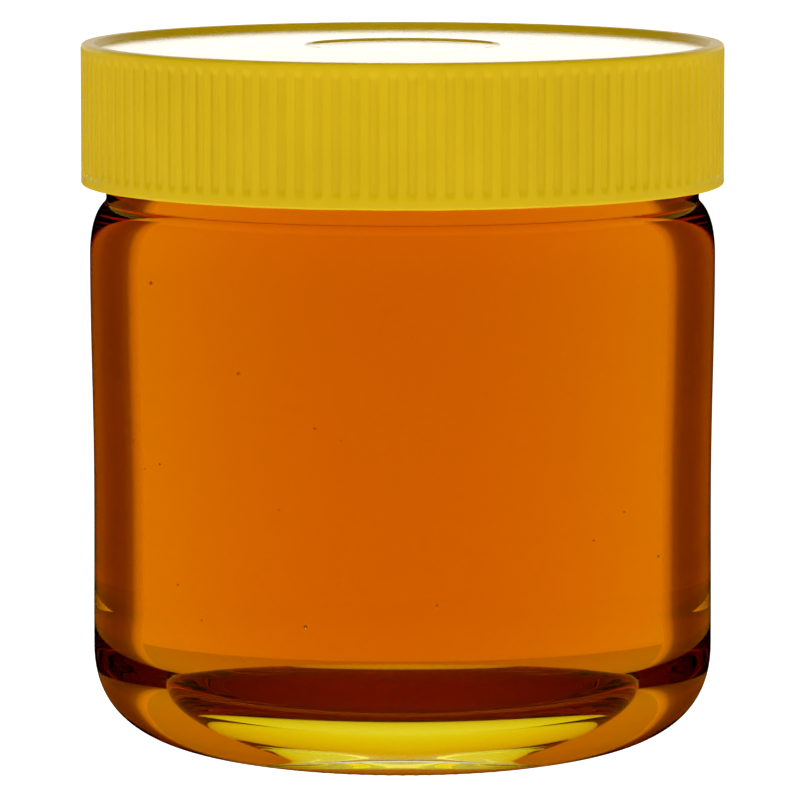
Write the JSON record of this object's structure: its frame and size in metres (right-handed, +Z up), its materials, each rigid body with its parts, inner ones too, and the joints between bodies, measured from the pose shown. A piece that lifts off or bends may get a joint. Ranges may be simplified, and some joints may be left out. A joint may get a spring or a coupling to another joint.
{
  "type": "honey jar",
  "caption": "Closed clear glass jar with a rounded heel and shoulder, filled with golden honey, under a yellow ribbed plastic screw lid.",
  "frame": {"origin": "centre of the circle that the jar stands on", "axes": "+Z up along the jar's axis, towards the lid; the jar is round, so X and Y are alike"},
  "size_m": [0.088, 0.088, 0.097],
  "materials": {
    "clear_glass": "clear soda-lime glass, fire-polished, with the faintest green tint where it is thick",
    "honey": null,
    "lid_plastic": "golden yellow moulded polypropylene, satin on the ribbed skirt, smooth and glossy on top"
  },
  "bodies": {
    "root": {"jar": "clear_glass", "honey": "honey", "lid": "lid_plastic"}
  },
  "joints": []
}
